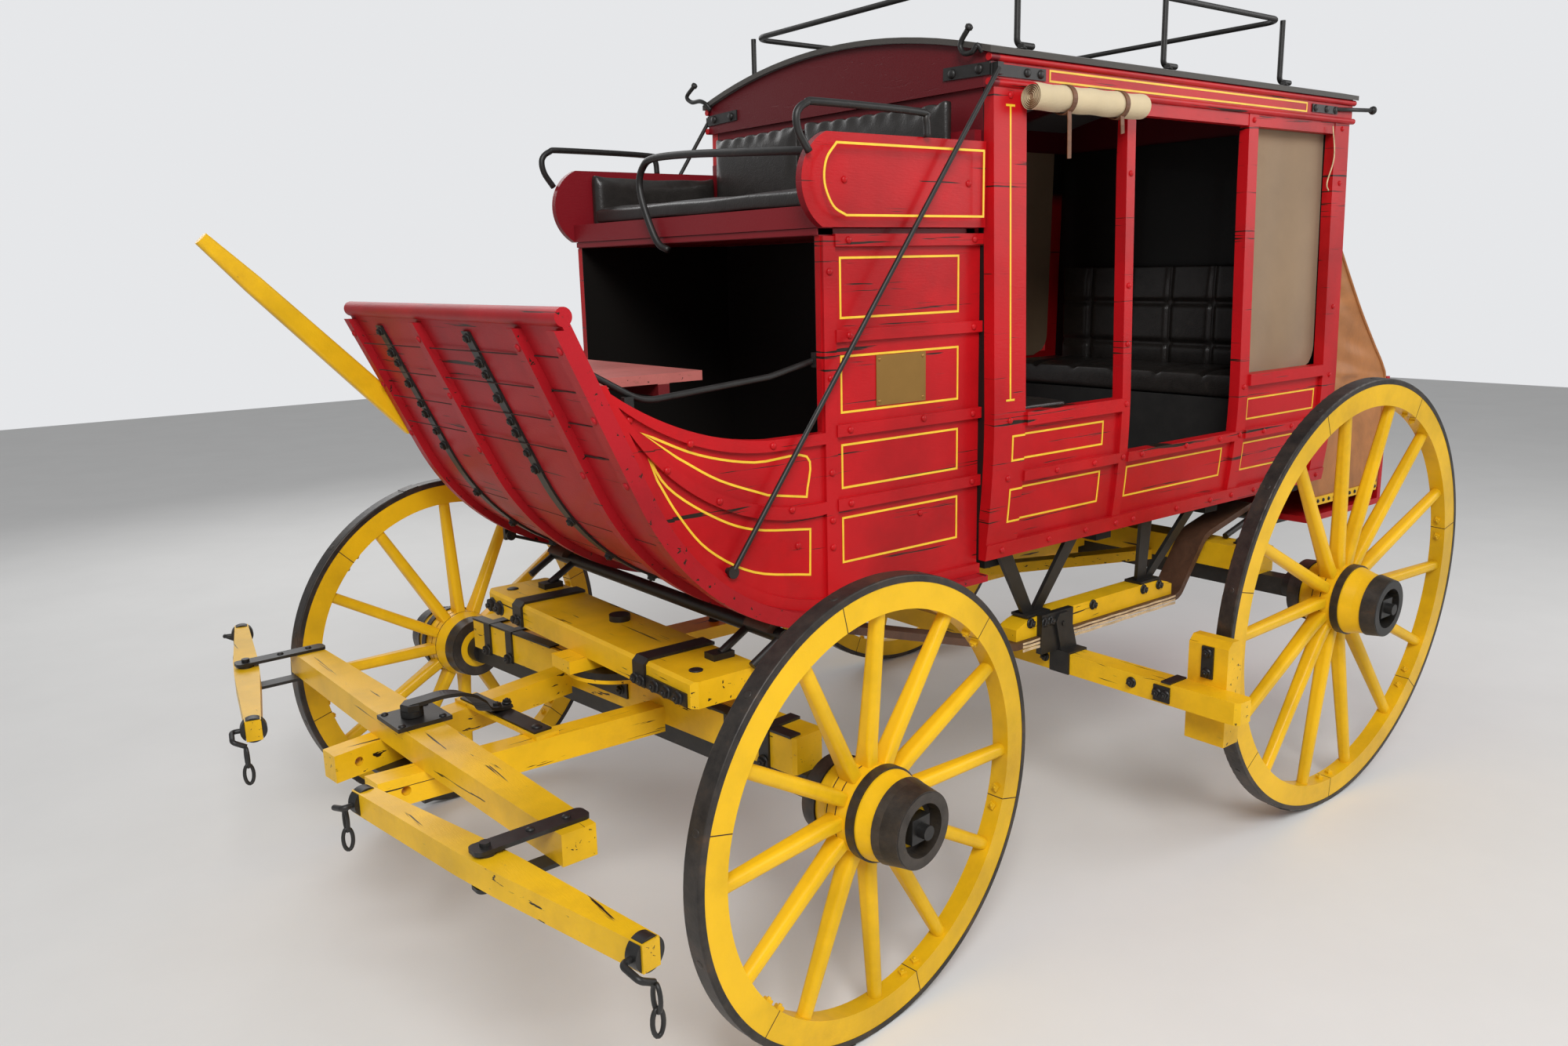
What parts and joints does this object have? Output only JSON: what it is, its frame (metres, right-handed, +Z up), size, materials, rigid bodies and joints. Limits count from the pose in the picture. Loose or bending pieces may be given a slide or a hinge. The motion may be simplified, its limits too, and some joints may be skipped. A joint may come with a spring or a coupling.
{
  "type": "stagecoach",
  "caption": "Flat-sided stagecoach slung on leather thoroughbraces, with open door, driver's seat, front and rear boots, dished wood wheels, steering gear and foot brake lever.",
  "frame": {"origin": "on the ground under the middle of the whole coach, singletree hooks to rear boot", "axes": "+X forward, +Y the coach's left, +Z up"},
  "size_m": [3.9786, 2.3639, 2.3888],
  "materials": {
    "red_wood": "satin red paint, worn",
    "plain_wood": "dark worn boards",
    "canvas": "matt painted canvas",
    "black_iron": "black paint on forged iron",
    "black_leather": "worn black leather",
    "brown_leather": "worn orange-brown leather",
    "yellow_wood": "satin yellow paint, worn",
    "tyre_steel": "dark worn steel"
  },
  "bodies": {
    "coach": {"side_wall_left": "red_wood", "side_wall_right": "red_wood", "front_wall": "red_wood", "rear_wall": "red_wood", "floor": "plain_wood", "roof_frame": "red_wood", "roof_deck": "canvas", "roof_rack": "black_iron", "boot_side_left": "red_wood", "boot_side_right": "red_wood", "footboard": "red_wood", "boot_irons": "black_iron", "boot_shelf": "plain_wood", "driver_seat": "red_wood", "seat_cushions": "black_leather", "seat_rails": "black_iron", "benches": "plain_wood", "bench_cushions": "black_leather", "curtains": "canvas", "rear_boot_platform": "red_wood", "rear_boot_cover": "brown_leather", "body_irons": "black_iron", "rockers": "yellow_wood", "thoroughbraces": "black_leather", "brace_stands": "black_iron", "front_bolster": "yellow_wood", "king_pin": "black_iron", "reach": "yellow_wood", "rear_axle_bed": "yellow_wood", "rear_axle": "black_iron", "brake_lever_pin": "black_iron"},
    "front_gear": {"front_axle": "black_iron", "front_axle_bed": "yellow_wood", "hounds": "yellow_wood", "evener_bolt": "black_iron"},
    "evener_bar": {"evener": "yellow_wood", "evener_irons": "black_iron"},
    "left_singletree": {"singletree_left": "yellow_wood", "singletree_left_irons": "black_iron"},
    "right_singletree": {"singletree_right": "yellow_wood", "singletree_right_irons": "black_iron"},
    "front_left_wheel": {"wheel_front_left": "yellow_wood", "tyre_front_left": "tyre_steel"},
    "front_right_wheel": {"wheel_front_right": "yellow_wood", "tyre_front_right": "tyre_steel"},
    "rear_left_wheel": {"wheel_rear_left": "yellow_wood", "tyre_rear_left": "tyre_steel"},
    "rear_right_wheel": {"wheel_rear_right": "yellow_wood", "tyre_rear_right": "tyre_steel"},
    "lever": {"brake_lever": "yellow_wood", "brake_lever_iron": "black_iron"},
    "rod": {"brake_rod": "black_iron"},
    "brake": {"brake_beam": "yellow_wood", "brake_hangers": "black_iron"}
  },
  "joints": [
    {"name": "front_gear_steer", "type": "hinge", "parent": "coach", "child": "front_gear", "pos_m": [1.07, -0.059, 0.654], "axis": [0, 0, 1], "range_deg": [-26.1, 13.9]},
    {"name": "evener_swing", "type": "hinge", "parent": "front_gear", "child": "evener_bar", "pos_m": [1.6666, 0.00476, 0.638], "axis": [0, 0, 1], "range_deg": [-4, 10]},
    {"name": "singletree_left_swing", "type": "hinge", "parent": "evener_bar", "child": "left_singletree", "pos_m": [1.80584, 0.71034, 0.638], "axis": [0, 0, 1], "range_deg": [-18, 12]},
    {"name": "singletree_right_swing", "type": "hinge", "parent": "evener_bar", "child": "right_singletree", "pos_m": [1.85714, -0.68873, 0.638], "axis": [0, 0, 1], "range_deg": [-3.5, 24.5]},
    {"name": "wheel_front_left_spin", "type": "hinge", "parent": "front_gear", "child": "front_left_wheel", "pos_m": [0.97426, 0.8369, 0.52292], "axis": [-0.1062, 0.9942, -0.0175], "continuous": true},
    {"name": "wheel_front_right_spin", "type": "hinge", "parent": "front_gear", "child": "front_right_wheel", "pos_m": [1.16574, -0.9549, 0.52292], "axis": [-0.1062, 0.9942, 0.0175], "continuous": true},
    {"name": "wheel_rear_left_spin", "type": "hinge", "parent": "coach", "child": "rear_left_wheel", "pos_m": [-0.864, 0.919, 0.66042], "axis": [0, 0.9991, -0.0419], "continuous": true},
    {"name": "wheel_rear_right_spin", "type": "hinge", "parent": "coach", "child": "rear_right_wheel", "pos_m": [-0.864, -1.037, 0.66042], "axis": [0, 0.9991, 0.0419], "continuous": true},
    {"name": "brake_lever_pull", "type": "hinge", "parent": "coach", "child": "lever", "pos_m": [1.08, -0.685, 0.985], "axis": [0, 1, 0], "range_deg": [-11.3, 0]},
    {"name": "brake_rod_link", "type": "hinge", "parent": "lever", "child": "rod", "pos_m": [1.08, -0.666, 0.9], "axis": [0, 1, 0], "range_deg": [0, 11.3]},
    {"name": "brake_beam_swing", "type": "hinge", "parent": "coach", "child": "brake", "pos_m": [-0.065, -0.059, 0.652], "axis": [0, 1, 0], "range_deg": [-5.75, 0]}
  ],
  "couplings": [
    {"joint": "brake_beam_swing", "follows": "brake_lever_pull", "ratio": 0.508},
    {"joint": "brake_rod_link", "follows": "brake_lever_pull", "ratio": -1}
  ]
}
